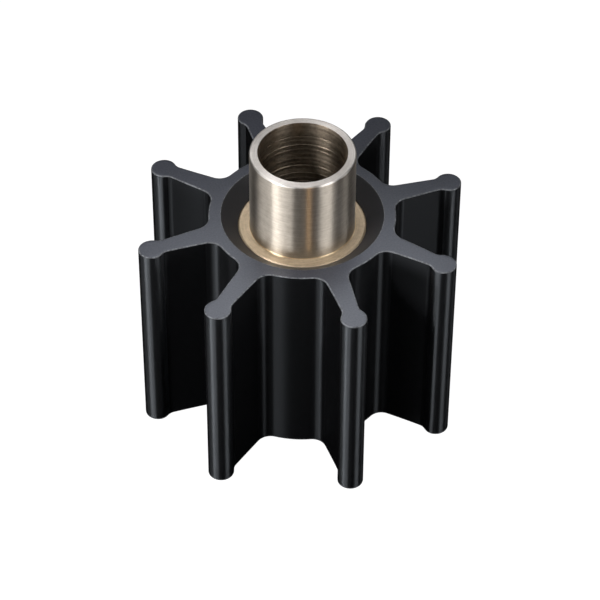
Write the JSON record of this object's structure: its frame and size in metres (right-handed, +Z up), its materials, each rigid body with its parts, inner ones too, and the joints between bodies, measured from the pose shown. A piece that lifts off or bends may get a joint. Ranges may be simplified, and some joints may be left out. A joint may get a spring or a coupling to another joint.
{
  "type": "rubber pump impeller",
  "caption": "Flexible rubber impeller with straight bead-tipped vanes round a bronze bush, and a turned sleeve with a plain through bore standing out of one end.",
  "frame": {"origin": "on the shaft axis at the underside of the rubber", "axes": "+Z up the shaft axis towards the sleeve's free end, +X along one vane"},
  "size_m": [0.095, 0.095, 0.086],
  "materials": {
    "rubber": "moulded black rubber, satin",
    "bush_bronze": "turned golden bronze",
    "sleeve_bronze": "turned pale bronze"
  },
  "bodies": {
    "root": {"impeller_body": "rubber", "hub_bush": "bush_bronze", "shaft_sleeve": "sleeve_bronze"}
  },
  "joints": []
}
